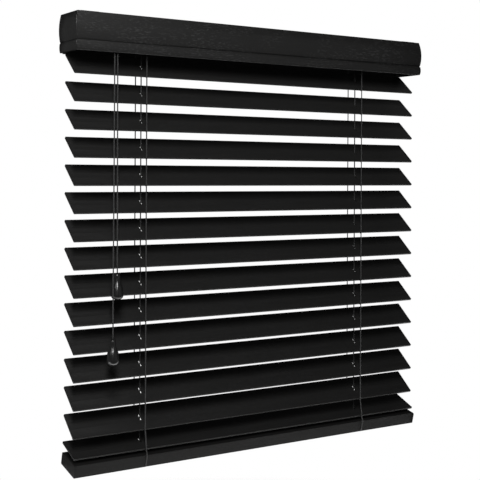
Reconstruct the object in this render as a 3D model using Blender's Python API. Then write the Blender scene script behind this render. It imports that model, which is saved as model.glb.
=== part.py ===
"""Venetian blind with 50 mm slats, a cord tilt and a cordless spring lift.

Metres, +Z up. X runs along the slats, -Y faces the room and +Y the window.
The origin is on the plane that the two brackets are screwed up to, midway
along the headrail and above the line of slat centres. The blind is fully
lowered and its slats are tilted with their room edges down.
"""

import math

import bmesh
import bpy
from mathutils import Matrix, Vector

# Slats
SLAT_COUNT = 15
SLAT_LENGTH = 0.718
SLAT_WIDTH = 0.050
SLAT_THICKNESS = 0.003
SLAT_EDGE_RADIUS = 0.0013
SLAT_PITCH = 0.045
FIRST_SLAT_Z = -0.082
LAST_SLAT_Z = -0.7055
ROUTE_SLOT_LENGTH = 0.013
ROUTE_SLOT_WIDTH = 0.0036
SLAT_TILT = math.radians(40.8)
LAST_SLAT_TILT = 0.55 * SLAT_TILT

# Bottom rail
RAIL_WIDTH = 0.054
RAIL_HEIGHT = 0.021
RAIL_CORNER = 0.002
RAIL_Z = -0.7285
RAIL_TILT = 0.34 * SLAT_TILT
RAIL_GROOVE_WIDTH = 0.0030
RAIL_GROOVE_DEPTH = 0.002

# Ladders and lift cords
LADDER_X = 0.230
LADDER_RADIUS = 0.0268
LADDER_CORD = 0.0012
LADDER_CORD_WIDTH = 0.0022
LIFT_CORD = 0.0020

# Headrail
HEADRAIL_LENGTH = 0.700
HEADRAIL_WIDTH = 0.057
HEADRAIL_TOP = -0.0025
HEADRAIL_BOTTOM = -0.0525
HEADRAIL_WALL = 0.0008
HEADRAIL_LIP = 0.003
ROD_Z = -0.027
ROD_SIDE = 0.006

# Cord tilt
TILTER_X = -0.293
WORM_Z = -0.0425
WORM_RADIUS = 0.004
GEAR_RADIUS = 0.011
GEAR_TEETH = 20
PULLEY_RADIUS = 0.006
NOSE_FRONT = -0.0316
NOSE_BOTTOM = -0.0545
TILT_CORD = 0.0020
CORD_EXIT_Y = -0.0303
LONG_EXIT_X = -0.2940
SHORT_EXIT_X = -0.2887
LONG_TASSEL = (-0.3027, -0.0458, -0.5246)
SHORT_TASSEL = (-0.2927, -0.0402, -0.4204)
TASSEL_HEIGHT = 0.0415

# Brackets and valance
BRACKET_LENGTH = 0.0312
BRACKET_OUTER_X = 0.3532
BRACKET_FRONT = -0.0303
BRACKET_BACK = 0.030
BRACKET_BOTTOM = -0.054
BRACKET_BACK_BOTTOM = -0.065
BRACKET_SHEET = 0.0012
VALANCE_TOP = -0.001
VALANCE_BOTTOM = -0.0637
VALANCE_INNER_X = 0.3593
VALANCE_INNER_Y = -0.0326
VALANCE_BACK = 0.030

GAP = 0.0003
TOUCH = GAP / 2


def clear_scene():
    for thing in list(bpy.data.objects):
        bpy.data.objects.remove(thing, do_unlink=True)


def material(name, colour, roughness, metallic=0.0):
    made = bpy.data.materials.new(name)
    made.use_nodes = True
    shader = made.node_tree.nodes["Principled BSDF"]
    shader.inputs["Base Color"].default_value = (*colour, 1.0)
    shader.inputs["Roughness"].default_value = roughness
    shader.inputs["Metallic"].default_value = metallic
    return made


def add_object(name, mesh, finish, location=(0, 0, 0), parent=None):
    made = bpy.data.objects.new(name, mesh)
    bpy.context.scene.collection.objects.link(made)
    made.location = location
    made.parent = parent
    if finish and not mesh.materials:
        mesh.materials.append(finish)
    return made


def mesh_from(name, bm, smooth=False):
    bmesh.ops.recalc_face_normals(bm, faces=bm.faces)
    mesh = bpy.data.meshes.new(name)
    bm.to_mesh(mesh)
    bm.free()
    if smooth:
        mesh.shade_smooth()
        mesh.set_sharp_from_angle(angle=math.radians(35))
    return mesh


def box_mesh(name, low, high):
    bm = bmesh.new()
    size = [b - a for a, b in zip(low, high)]
    centre = [(a + b) / 2 for a, b in zip(low, high)]
    place = Matrix.Translation(centre) @ Matrix.Diagonal((*size, 1))
    bmesh.ops.create_cube(bm, size=1, matrix=place)
    return mesh_from(name, bm)


def prism_mesh(name, outline, thickness, holes=(), smooth=False):
    """A flat plate in XY with through holes, standing on z = 0 and this thick."""
    bm = bmesh.new()
    for loop in (outline, *holes):
        corners = [bm.verts.new((x, y, 0)) for x, y in loop]
        for start, end in zip(corners, corners[1:] + corners[:1]):
            bm.edges.new((start, end))
    bmesh.ops.triangle_fill(bm, edges=bm.edges[:], use_beauty=True)
    grown = bmesh.ops.extrude_face_region(bm, geom=bm.faces[:])["geom"]
    moved = [part for part in grown if isinstance(part, bmesh.types.BMVert)]
    bmesh.ops.translate(bm, verts=moved, vec=(0, 0, thickness))
    return mesh_from(name, bm, smooth)


def along_x(mesh, start):
    """Turns a plate drawn in XY so that its drawing is in YZ and it grows along +X from start."""
    turn = Matrix(((0, 0, 1, 0), (1, 0, 0, 0), (0, 1, 0, 0), (0, 0, 0, 1)))
    mesh.transform(Matrix.Translation((start, 0, 0)) @ turn)
    return mesh


def lathe_mesh(name, profile, steps, closed=False):
    """Turns a profile of (radius, z) points once around Z."""
    bm = bmesh.new()
    points = [bm.verts.new((radius, 0, z)) for radius, z in profile]
    pairs = list(zip(points, points[1:]))
    if closed:
        pairs.append((points[-1], points[0]))
    edges = [bm.edges.new(pair) for pair in pairs]
    bmesh.ops.spin(
        bm, geom=points + edges, cent=(0, 0, 0), axis=(0, 0, 1), dvec=(0, 0, 0),
        angle=math.tau, steps=steps, use_merge=True,
    )
    bmesh.ops.remove_doubles(bm, verts=bm.verts, dist=1e-6)
    return mesh_from(name, bm, smooth=True)


def circle(radius, count, centre=(0, 0)):
    turns = [math.tau * step / count for step in range(count)]
    return [(centre[0] + radius * math.cos(a), centre[1] + radius * math.sin(a)) for a in turns]


def rounded_rectangle(width, height, radius, steps, centre=(0, 0)):
    points = []
    for corner, (sx, sy) in enumerate(((1, 1), (-1, 1), (-1, -1), (1, -1))):
        for step in range(steps + 1):
            angle = math.pi / 2 * (corner + step / steps)
            points.append((
                centre[0] + sx * (width / 2 - radius) + radius * math.cos(angle),
                centre[1] + sy * (height / 2 - radius) + radius * math.sin(angle),
            ))
    return points


def bore_mesh(name, radius, low, high, x=0.0, y=0.0, count=16):
    mesh = prism_mesh(name, circle(radius, count), high - low)
    mesh.transform(Matrix.Translation((x, y, low)))
    return mesh


def gathered(name, meshes):
    """One mesh of several separate bodies."""
    bm = bmesh.new()
    for mesh in meshes:
        bm.from_mesh(mesh)
    joined = bpy.data.meshes.new(name)
    bm.to_mesh(joined)
    bm.free()
    return joined


def change(target, operation, mesh):
    """Cuts a mesh out of the target, or joins it on, with an exact Boolean."""
    tool = add_object(mesh.name, mesh, None, parent=target)
    tool.hide_render = True
    tool.display_type = "WIRE"
    step = target.modifiers.new(mesh.name, "BOOLEAN")
    step.operation = operation
    step.object = tool
    return tool


def tube(name, points, diameter, finish, parent=None):
    curve = bpy.data.curves.new(name, "CURVE")
    curve.dimensions = "3D"
    curve.bevel_depth = diameter / 2
    curve.bevel_resolution = 2
    curve.use_fill_caps = True
    spline = curve.splines.new("POLY")
    spline.points.add(len(points) - 1)
    for target, point in zip(spline.points, points):
        target.co = (*point, 1)
    curve.materials.append(finish)
    return add_object(name, curve, None, parent=parent)


def smooth_route(points, count):
    """Evenly read points on a smooth curve through the given ones."""
    knots = [Vector(point) for point in points]
    knots = [2 * knots[0] - knots[1]] + knots + [2 * knots[-1] - knots[-2]]
    read = []
    for step in range(count):
        place = step / (count - 1) * (len(knots) - 3)
        index = min(int(place), len(knots) - 4)
        t = place - index
        a, b, c, d = knots[index : index + 4]
        read.append(
            b + 0.5 * t * (c - a + t * (2 * a - 5 * b + 4 * c - d + t * (3 * (b - c) + d - a)))
        )
    return read


def slat_z(number):
    if number == SLAT_COUNT:
        return LAST_SLAT_Z
    return FIRST_SLAT_Z - (number - 1) * SLAT_PITCH


def slat_mesh():
    """One slat, flat and centred: rounded long edges and two route slots."""
    outline = rounded_rectangle(SLAT_LENGTH, SLAT_WIDTH, 0.0015, 2)
    slots = [
        rounded_rectangle(
            ROUTE_SLOT_WIDTH, ROUTE_SLOT_LENGTH, 0.49 * ROUTE_SLOT_WIDTH, 3, (side * LADDER_X, 0)
        )
        for side in (-1, 1)
    ]
    mesh = prism_mesh("slat", outline, SLAT_THICKNESS, slots)
    mesh.transform(Matrix.Translation((0, 0, -SLAT_THICKNESS / 2)))
    bm = bmesh.new()
    bm.from_mesh(mesh)
    rims = [
        edge for edge in bm.edges
        if abs(edge.verts[0].co.y) > 0.48 * SLAT_WIDTH
        and abs(edge.verts[1].co.y) > 0.48 * SLAT_WIDTH
        and edge.calc_length() > 0.5 * SLAT_LENGTH
        and abs(edge.verts[0].co.z - edge.verts[1].co.z) < 1e-6
    ]
    bmesh.ops.bevel(
        bm, geom=rims, offset=SLAT_EDGE_RADIUS, offset_type="OFFSET", segments=2,
        profile=0.5, affect="EDGES", material=-1,
    )
    bmesh.ops.triangulate(bm, faces=bm.faces)
    bm.to_mesh(mesh)
    bm.free()
    return mesh


def make_slats(wood):
    mesh = slat_mesh()
    for number in range(1, SLAT_COUNT + 1):
        slat = add_object(f"slat_{number:02d}", mesh, wood, (0, 0, slat_z(number)))
        slat.rotation_euler.x = LAST_SLAT_TILT if number == SLAT_COUNT else SLAT_TILT


def make_bottom_rail(wood, plastic):
    outline = rounded_rectangle(RAIL_WIDTH, RAIL_HEIGHT, RAIL_CORNER, 2)
    mesh = along_x(prism_mesh("bottom_rail", outline, SLAT_LENGTH), -SLAT_LENGTH / 2)
    rail = add_object("bottom_rail", mesh, wood, (0, 0, RAIL_Z))
    rail.rotation_euler.x = RAIL_TILT
    half_groove = RAIL_GROOVE_WIDTH / 2
    plug_profile = [
        (0, -0.0020), (0.0062, -0.0020), (0.0068, -0.0014), (0.0068, 0),
        (0.0025, 0), (0.0025, 0.006), (0, 0.006),
    ]
    hole_profile = [
        (0, 0.02), (0.003, 0.02), (0.003, -0.0095), (0.0072, -0.0095), (0.0072, -0.02), (0, -0.02),
    ]
    cutters = []
    for side, x in (("left", -LADDER_X), ("right", LADDER_X)):
        hole = lathe_mesh(f"cord_hole_{side}", hole_profile, 16)
        hole.transform(Matrix.Translation((x, 0, 0)))
        cutters.append(hole)
        for depth in (-RAIL_WIDTH / 2, RAIL_WIDTH / 2):
            low = (x - half_groove, depth - RAIL_GROOVE_DEPTH, -RAIL_HEIGHT)
            high = (x + half_groove, depth + RAIL_GROOVE_DEPTH, RAIL_HEIGHT)
            cutters.append(box_mesh(f"groove_{side}", low, high))
        plug_mesh = lathe_mesh(f"rail_plug_{side}", plug_profile, 20)
        add_object(f"rail_plug_{side}", plug_mesh, plastic, (x, 0, -0.0098), rail)
    change(rail, "DIFFERENCE", gathered("rail_cuts", cutters))


def ladder_point(side, number_z, angle, radius=LADDER_RADIUS):
    """The room-side (-1) or window-side (1) end of a rung, as (y, z)."""
    return side * radius * math.cos(angle), number_z + side * radius * math.sin(angle)


def make_ladders(cord):
    """Room-side and window-side cords from the drum's arm to the rail's groove."""
    groove_y = RAIL_WIDTH / 2 - RAIL_GROOVE_DEPTH / 2 - GAP / 2
    for hand, x in (("left", -LADDER_X), ("right", LADDER_X)):
        for face, side in (("front", -1), ("back", 1)):
            y, tip_z = ladder_point(side, ROD_Z, SLAT_TILT)
            low_y, low_z = ladder_point(side, slat_z(SLAT_COUNT - 1), SLAT_TILT)
            edge_y, edge_z = ladder_point(side, LAST_SLAT_Z, LAST_SLAT_TILT)
            turn = Matrix.Rotation(RAIL_TILT, 3, "X")
            mouth = turn @ Vector((0, side * groove_y, RAIL_HEIGHT / 2))
            foot = turn @ Vector((0, side * groove_y, 0))
            route = [
                (0, y, tip_z - (0.0024 if side > 0 else 0.0012)),
                (0, low_y, low_z),
                (0, edge_y, edge_z),
                (0, mouth.y, RAIL_Z + mouth.z),
                (0, foot.y, RAIL_Z + foot.z),
            ]
            string = tube(f"ladder_cord_{face}_{hand}", route, LADDER_CORD, cord)
            string.location.x = x
            string.scale.x = LADDER_CORD_WIDTH / LADDER_CORD


def lift_stretch(name, x, high, low, cord):
    points = [(x, 0, high - TOUCH), (x, 0, (high + low) / 2), (x, 0, low + TOUCH)]
    tube(name, points, LIFT_CORD, cord)


def make_lift_cords(cord):
    """Each lift cord, in stretches that rise with the slats they pass through."""
    top = HEADRAIL_BOTTOM - 0.0005
    bottom = RAIL_Z + RAIL_HEIGHT / 2 / math.cos(RAIL_TILT) + 0.0012
    for number in range(3, SLAT_COUNT, 2):
        high = top if number == 3 else slat_z(number) + SLAT_PITCH
        low = slat_z(number) - SLAT_PITCH
        lift_stretch(f"lift_cord_left_{number:02d}", -LADDER_X, high, low, cord)
    high = slat_z(SLAT_COUNT - 1)
    lift_stretch("lift_cord_left_base", -LADDER_X, high, bottom, cord)
    for number in range(2, SLAT_COUNT, 2):
        high = top if number == 2 else slat_z(number) + SLAT_PITCH
        low = bottom if number == SLAT_COUNT - 1 else slat_z(number) - SLAT_PITCH
        lift_stretch(f"lift_cord_right_{number:02d}", LADDER_X, high, low, cord)


def make_headrail(steel, plastic):
    half, wall = HEADRAIL_WIDTH / 2, HEADRAIL_WALL
    top, bottom = HEADRAIL_TOP, HEADRAIL_BOTTOM
    right = [
        (half, bottom), (half, top), (half - HEADRAIL_LIP, top),
        (half - HEADRAIL_LIP, top - wall), (half - wall, top - wall), (half - wall, bottom + wall),
    ]
    outline = right + [(-y, z) for y, z in reversed(right)]
    mesh = along_x(prism_mesh("headrail", outline, HEADRAIL_LENGTH), -HEADRAIL_LENGTH / 2)
    headrail = add_object("headrail", mesh, steel)
    change(headrail, "UNION", light_stop())
    for side in (-1, 1):
        change(headrail, "UNION", light_stop_tab(side))
    low = (TILTER_X - 0.0193, -half - 0.001, bottom - 0.001)
    high = (TILTER_X + 0.0193, NOSE_FRONT + 0.0051, -0.040)
    cutters = [box_mesh("tilter_window", low, high)]
    for x in (-LADDER_X, LADDER_X):
        cutters.append(cord_openings("floor_openings", x, bottom, wall))
    change(headrail, "DIFFERENCE", gathered("headrail_cuts", cutters))

    for hand, side in (("left", -1), ("right", 1)):
        start = HEADRAIL_LENGTH / 2 + GAP
        plate = [(-half, bottom), (half, bottom), (half, top), (-half, top)]
        cap_mesh = along_x(prism_mesh(f"headrail_end_cap_{hand}", plate, 0.0012), start)
        cap = add_object(f"headrail_end_cap_{hand}", cap_mesh, plastic)
        inset = half - wall - GAP
        low = (start - 0.006, -inset, bottom + wall + GAP)
        high = (start + 0.0006, inset, top - 0.004)
        change(cap, "UNION", box_mesh(f"cap_plug_{hand}", low, high))
        if side < 0:
            cap.rotation_euler.z = math.pi


def light_stop():
    """A strip on the headrail's back that closes the gap above the first slat."""
    half = BRACKET_OUTER_X - BRACKET_LENGTH - GAP
    back = HEADRAIL_WIDTH / 2
    low = (-half, back - HEADRAIL_WALL / 2, BRACKET_BACK_BOTTOM)
    high = (half, back + 0.0008, HEADRAIL_BOTTOM + 0.0065)
    return box_mesh("light_stop", low, high)


def light_stop_tab(side):
    """Laps the joint between the light stop and the bracket at that end."""
    middle = side * (BRACKET_OUTER_X - BRACKET_LENGTH)
    back = HEADRAIL_WIDTH / 2
    low = (middle - 0.005, back - HEADRAIL_WALL, BRACKET_BACK_BOTTOM + GAP)
    high = (middle + 0.005, back - GAP, BRACKET_BOTTOM - 0.0005)
    return box_mesh("light_stop_tab", low, high)


def cord_openings(name, x, bottom, thickness):
    """One cutter for the two ladder slots and the lift cord hole under a drum."""
    bm = bmesh.new()
    for low_y, high_y in ((-0.0272, -0.0080), (-0.003, 0.003), (0.0080, 0.0272)):
        low = Vector((x - 0.004, low_y, bottom - 0.002))
        high = Vector((x + 0.004, high_y, bottom + thickness + 0.002))
        place = Matrix.Translation((low + high) / 2) @ Matrix.Diagonal((*(high - low), 1))
        bmesh.ops.create_cube(bm, size=1, matrix=place)
    return mesh_from(name, bm)


def make_brackets(steel):
    """Box brackets: a top and a flanged back to screw through, an outer end and a lower lip."""
    sheet = BRACKET_SHEET
    inner_x = BRACKET_OUTER_X - BRACKET_LENGTH
    for hand, side in (("left", -1), ("right", 1)):
        outer = box_mesh(
            f"mounting_bracket_{hand}",
            (inner_x, BRACKET_FRONT, BRACKET_BACK_BOTTOM), (BRACKET_OUTER_X, BRACKET_BACK, 0),
        )
        bracket = add_object(f"mounting_bracket_{hand}", outer, steel)
        hollow_low = (inner_x - 0.01, BRACKET_FRONT + sheet, BRACKET_BOTTOM + sheet)
        hollow_high = (BRACKET_OUTER_X - sheet, BRACKET_BACK - sheet, -sheet)
        change(bracket, "DIFFERENCE", box_mesh(f"hollow_{hand}", hollow_low, hollow_high))
        flange_low = (BRACKET_OUTER_X - sheet / 2, BRACKET_BACK - sheet, BRACKET_BACK_BOTTOM + 0.0002)
        flange_high = (VALANCE_INNER_X - 0.0005, BRACKET_BACK - 0.0002, -0.0002)
        change(bracket, "UNION", box_mesh(f"flange_{hand}", flange_low, flange_high))
        below_low = (inner_x - 0.01, BRACKET_FRONT - 0.01, BRACKET_BACK_BOTTOM - 0.01)
        below_high = (BRACKET_OUTER_X + 0.01, BRACKET_BACK - sheet, BRACKET_BOTTOM)
        change(bracket, "DIFFERENCE", box_mesh(f"below_{hand}", below_low, below_high))
        front_low = (inner_x - 0.01, BRACKET_FRONT - 0.01, BRACKET_BOTTOM - 0.01)
        front_high = (BRACKET_OUTER_X - sheet, BRACKET_FRONT + sheet + 0.0001, -0.009)
        change(bracket, "DIFFERENCE", box_mesh(f"mouth_{hand}", front_low, front_high))
        under_low = (inner_x - 0.01, BRACKET_FRONT - 0.01, BRACKET_BOTTOM - 0.01)
        under_high = (BRACKET_OUTER_X - sheet, 0.012, BRACKET_BOTTOM + sheet + 0.0001)
        change(bracket, "DIFFERENCE", box_mesh(f"under_{hand}", under_low, under_high))
        middle = inner_x + BRACKET_LENGTH / 2
        holes = [bore_mesh("screw_hole", 0.0022, -0.005, 0.005, middle + place, 0, 12)
                 for place in (-0.008, 0.008)]
        change(bracket, "DIFFERENCE", gathered(f"screw_holes_{hand}", holes))
        if side < 0:
            bracket.scale.x = -1


def rocker_outline():
    """A drum of 8 mm radius with an arm each side, ending where a ladder cord is tied."""
    hub, root, tip = 0.008, 0.0014, 0.0006
    start = math.asin(root / hub)
    outline = []
    for turn in (0, math.pi):
        local = [(LADDER_RADIUS + tip * math.cos(a), tip * math.sin(a))
                 for a in (-math.pi / 2, -math.pi / 4, 0, math.pi / 4, math.pi / 2)]
        local += [(hub * math.cos(a), hub * math.sin(a))
                  for a in (start + (math.pi - 2 * start) * step / 8 for step in range(9))]
        for y, z in local:
            outline.append((y * math.cos(turn) - z * math.sin(turn),
                            y * math.sin(turn) + z * math.cos(turn)))
    return outline


def square(side):
    return [(-side / 2, -side / 2), (side / 2, -side / 2), (side / 2, side / 2), (-side / 2, side / 2)]


def gear_outline(radius, teeth, depth):
    outline = []
    for tooth in range(teeth):
        for place, reach in ((0.0, radius - depth), (0.3, radius - depth), (0.45, radius), (0.8, radius)):
            angle = math.tau * (tooth + place) / teeth
            outline.append((reach * math.cos(angle), reach * math.sin(angle)))
    return outline


def make_tilt_gear(steel, nylon):
    """Rod, gear and drums turn as one about the rod's axis."""
    axis = bpy.data.objects.new("tilt_axis", None)
    bpy.context.scene.collection.objects.link(axis)
    axis.location = (0, 0, ROD_Z)
    axis.rotation_euler.x = SLAT_TILT
    start, end = TILTER_X - 0.022, LADDER_X + 0.015
    rod = along_x(prism_mesh("tilt_rod", square(ROD_SIDE), end - start), start)
    add_object("tilt_rod", rod, steel, parent=axis)
    bore = square(ROD_SIDE + 2 * GAP)
    gear = prism_mesh("tilt_gear", gear_outline(GEAR_RADIUS, GEAR_TEETH, 0.0014), 0.008, [bore])
    add_object("tilt_gear", along_x(gear, TILTER_X - 0.004), nylon, parent=axis)
    for hand, x in (("left", -LADDER_X), ("right", LADDER_X)):
        drum = prism_mesh(f"ladder_drum_{hand}", rocker_outline(), 0.004, [bore])
        add_object(f"ladder_drum_{hand}", along_x(drum, x - 0.002), nylon, parent=axis)


def make_cradles(nylon):
    """A base on the headrail's floor and two cheeks that carry the rod."""
    floor = HEADRAIL_BOTTOM + HEADRAIL_WALL + GAP
    for hand, x in (("left", -LADDER_X), ("right", LADDER_X)):
        base = box_mesh(
            f"drum_cradle_{hand}", (x - 0.009, -0.0272, floor), (x + 0.009, 0.0272, floor + 0.0015)
        )
        cradle = add_object(f"drum_cradle_{hand}", base, nylon)
        for cheek, offset in (("a", -0.0085), ("b", 0.0070)):
            low = (x + offset, -0.0075, floor + 0.0005)
            high = (x + offset + 0.0015, 0.0075, ROD_Z + 0.0075)
            change(cradle, "UNION", box_mesh(f"cheek_{cheek}_{hand}", low, high))
        change(cradle, "DIFFERENCE", cord_openings(f"cradle_{hand}", x, floor, 0.0015))
        journal = prism_mesh(f"journal_{hand}", circle(0.0047, 20), 0.030)
        tool = change(cradle, "DIFFERENCE", along_x(journal, x - 0.015))
        tool.location.z = ROD_Z


def make_tilter(nylon):
    """Housing of the worm and cord pulley; its nose hangs out through the headrail's front."""
    floor = HEADRAIL_BOTTOM + HEADRAIL_WALL + GAP
    inside_front, nose_back, nose_top = -0.0273, -0.0269, -0.0403
    outline = [
        (0.022, -0.033), (inside_front, -0.033), (inside_front, nose_top), (NOSE_FRONT, nose_top),
        (NOSE_FRONT, NOSE_BOTTOM), (nose_back, NOSE_BOTTOM), (nose_back, floor), (0.022, floor),
    ]
    body = along_x(prism_mesh("tilter_housing", outline, 0.038), TILTER_X - 0.019)
    housing = add_object("tilter_housing", body, nylon)
    left, right = TILTER_X - 0.0175, TILTER_X + 0.0175
    bays = [
        box_mesh("worm_bay", (left, -0.0155, floor + 0.001), (right, 0.0135, -0.03)),
        box_mesh("pulley_bay", (left, -0.0255, floor + 0.001), (right, -0.0175, -0.03)),
    ]
    change(housing, "DIFFERENCE", gathered("tilter_bays", bays))
    passage = box_mesh(
        "cord_passage", (LONG_EXIT_X - 0.002, -0.0310, -0.0485), (SHORT_EXIT_X + 0.002, -0.025, -0.0430)
    )
    change(housing, "DIFFERENCE", passage)
    eyelets = [bore_mesh("eyelet", 0.0012, NOSE_BOTTOM - 0.002, -0.047, x, CORD_EXIT_Y + 0.0006, 12)
               for x in (LONG_EXIT_X, SHORT_EXIT_X)]
    change(housing, "DIFFERENCE", gathered("eyelets", eyelets))
    journal = prism_mesh("worm_journal", circle(0.0023, 16), 0.036)
    journal.transform(Matrix.Translation((TILTER_X, 0.018, WORM_Z)) @ Matrix.Rotation(math.pi / 2, 4, "X"))
    change(housing, "DIFFERENCE", journal)

    flange = PULLEY_RADIUS + 0.001
    profile = [
        (0, -0.0247), (flange, -0.0247), (flange, -0.0237), (PULLEY_RADIUS, -0.0232),
        (PULLEY_RADIUS, -0.0198), (flange, -0.0193), (flange, -0.0183), (0.002, -0.0183),
        (0.002, -0.0145), (WORM_RADIUS, -0.0140), (WORM_RADIUS, 0.0120), (0.002, 0.0125),
        (0.002, 0.0170), (0, 0.0170),
    ]
    worm = lathe_mesh("tilt_worm", profile, 20)
    worm.transform(Matrix.Rotation(-math.pi / 2, 4, "X"))
    add_object("tilt_worm", worm, nylon, (TILTER_X, 0, WORM_Z))


def make_spring_motor(nylon, steel):
    """An open tray on the headrail's floor with the spool that winds both lift cords."""
    floor = HEADRAIL_BOTTOM + HEADRAIL_WALL + GAP
    tray = box_mesh("spring_motor_case", (-0.060, -0.025, floor), (0.060, 0.025, -0.034))
    case = add_object("spring_motor_case", tray, nylon)
    cavity = box_mesh("motor_cavity", (-0.0585, -0.0235, floor + 0.0015), (0.0585, 0.0235, -0.03))
    change(case, "DIFFERENCE", cavity)
    change(case, "UNION", bore_mesh("spool_post", 0.003, floor + 0.001, -0.035))
    profile = [
        (0.0033, 0), (0.015, 0), (0.015, 0.001), (0.012, 0.0015),
        (0.012, 0.0105), (0.015, 0.011), (0.015, 0.012), (0.0033, 0.012),
    ]
    spool = lathe_mesh("lift_cord_spool", profile, 24, closed=True)
    add_object("lift_cord_spool", spool, steel, (0, 0, floor + 0.0018))


def bulge(top, bottom, rise, steps):
    """Points (depth, z) from top to bottom, bowed outwards by rise at the middle."""
    points = []
    for step in range(steps + 1):
        s = step / steps
        depth = top[0] + (bottom[0] - top[0]) * s + rise * 4 * s * (1 - s)
        points.append((depth, top[1] + (bottom[1] - top[1]) * s))
    return points


def valance_profile():
    """Thickness outwards from the inner face: a bowed board, a groove and a lower bead."""
    upper = bulge((0.0024, VALANCE_TOP), (0.0043, -0.0466), 0.0026, 8)
    lower = bulge((0.0046, -0.0482), (0.0043, VALANCE_BOTTOM), 0.0012, 5)
    return [(0, VALANCE_TOP)] + upper + [(0.0034, -0.0474)] + lower + [(0, VALANCE_BOTTOM)]


def mitre(mesh, point, normal):
    """Keeps the side of the mesh behind the plane, and closes the cut."""
    bm = bmesh.new()
    bm.from_mesh(mesh)
    cut = bmesh.ops.bisect_plane(
        bm, geom=bm.verts[:] + bm.edges[:] + bm.faces[:], plane_co=point, plane_no=normal,
        clear_outer=True,
    )["geom_cut"]
    rim = [part for part in cut if isinstance(part, bmesh.types.BMEdge)]
    bmesh.ops.triangle_fill(bm, edges=rim, use_beauty=True)
    bmesh.ops.recalc_face_normals(bm, faces=bm.faces)
    bm.to_mesh(mesh)
    bm.free()


def make_valance(wood, plastic):
    profile = valance_profile()
    reach = VALANCE_INNER_X + 0.010
    front = along_x(
        prism_mesh("valance_front", [(VALANCE_INNER_Y - d, z) for d, z in profile], 2 * reach), -reach
    )
    for side in (-1, 1):
        mitre(front, (side * (VALANCE_INNER_X - TOUCH), VALANCE_INNER_Y, 0), (side, 1, 0))
    add_object("valance_front", front, wood)
    for hand, side in (("left", -1), ("right", 1)):
        flat = [(side * (VALANCE_INNER_X + d), z) for d, z in profile]
        length = VALANCE_BACK - VALANCE_INNER_Y + 0.010
        board = prism_mesh(f"valance_return_{hand}", flat, length)
        board.transform(
            Matrix.Translation((0, VALANCE_BACK, 0)) @ Matrix.Rotation(math.pi / 2, 4, "X")
        )
        mitre(board, (side * (VALANCE_INNER_X + TOUCH), VALANCE_INNER_Y, 0), (-side, -1, 0))
        add_object(f"valance_return_{hand}", board, wood)
        clip = [
            (VALANCE_INNER_Y + GAP, -0.0010), (VALANCE_INNER_Y + GAP, -0.040),
            (VALANCE_INNER_Y + 0.0015, -0.040), (VALANCE_INNER_Y + 0.0015, -0.0022),
            (-0.0252, -0.0022), (-0.0252, -0.008), (-0.0242, -0.008), (-0.0242, -0.0010),
        ]
        clip_mesh = along_x(prism_mesh(f"valance_clip_{hand}", clip, 0.025), side * 0.15 - 0.0125)
        add_object(f"valance_clip_{hand}", clip_mesh, plastic)


def make_tilt_cords(cord, gloss):
    """Two cords from the tilter's nose, each down to its own tassel."""
    start_z = NOSE_BOTTOM - GAP
    routes = {
        "long": (LONG_EXIT_X, LONG_TASSEL, 44, [(0.46, 0.42), (0.80, 1.0)]),
        "short": (SHORT_EXIT_X, SHORT_TASSEL, 36, [(0.35, 0.30), (0.70, 0.68)]),
    }
    profile = [
        (0, 0), (0.0028, 0), (0.0044, -0.0012), (0.0050, -0.0035), (0.0052, -0.0080),
        (0.0056, -0.0120), (0.0066, -0.0155), (0.0081, -0.0190), (0.0090, -0.0220),
        (0.0097, -0.0265), (0.0101, -0.0325), (0.0100, -0.0352), (0.0093, -0.0376),
        (0.0077, -0.0397), (0.0053, -0.0411), (0.0035, -TASSEL_HEIGHT), (0, -TASSEL_HEIGHT),
    ]
    for name, (exit_x, tassel, count, bends) in routes.items():
        foot = Vector((tassel[0], tassel[1], tassel[2] + GAP))
        head = Vector((exit_x, CORD_EXIT_Y, start_z))
        route = [head]
        for fall, drift in bends:
            route.append(Vector((
                head.x + (foot.x - head.x) * drift,
                head.y + (foot.y - head.y) * drift,
                head.z + (foot.z - head.z) * fall,
            )))
        route.append(foot)
        tube(f"tilt_cord_{name}", smooth_route(route, count), TILT_CORD, cord)
        acorn = lathe_mesh(f"tassel_{name}", profile, 20)
        add_object(f"tassel_{name}", acorn, gloss, tassel)


def main():
    clear_scene()
    wood = material("black_painted_wood", (0.012, 0.012, 0.012), 0.5)
    cord = material("black_cord", (0.020, 0.020, 0.020), 0.8)
    steel = material("black_painted_steel", (0.015, 0.015, 0.016), 0.45, 0.2)
    nylon = material("white_nylon", (0.70, 0.70, 0.68), 0.5)
    gloss = material("gloss_black_plastic", (0.008, 0.008, 0.008), 0.12)
    plastic = material("black_plastic", (0.015, 0.015, 0.015), 0.4)
    make_headrail(steel, plastic)
    make_brackets(steel)
    make_tilt_gear(steel, nylon)
    make_cradles(nylon)
    make_tilter(nylon)
    make_spring_motor(nylon, plastic)
    make_valance(wood, plastic)
    make_slats(wood)
    make_ladders(cord)
    make_lift_cords(cord)
    make_bottom_rail(wood, plastic)
    make_tilt_cords(cord, gloss)
    bpy.context.view_layer.update()


main()
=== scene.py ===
# %% [markdown]
# # Venetian blind with 50 mm slats
# Fifteen black painted slats hang on two string ladders below a moulded valance. A cord tilter in the
# headrail turns them, and a spring motor takes up the lift cords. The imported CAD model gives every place
# and every joint. This lesson adds the fine shapes and the finishes that a buyer would see, piece by piece.

# %% Load the frame
import math

import bmesh
import bpy
from mathutils import Matrix, Vector


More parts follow.
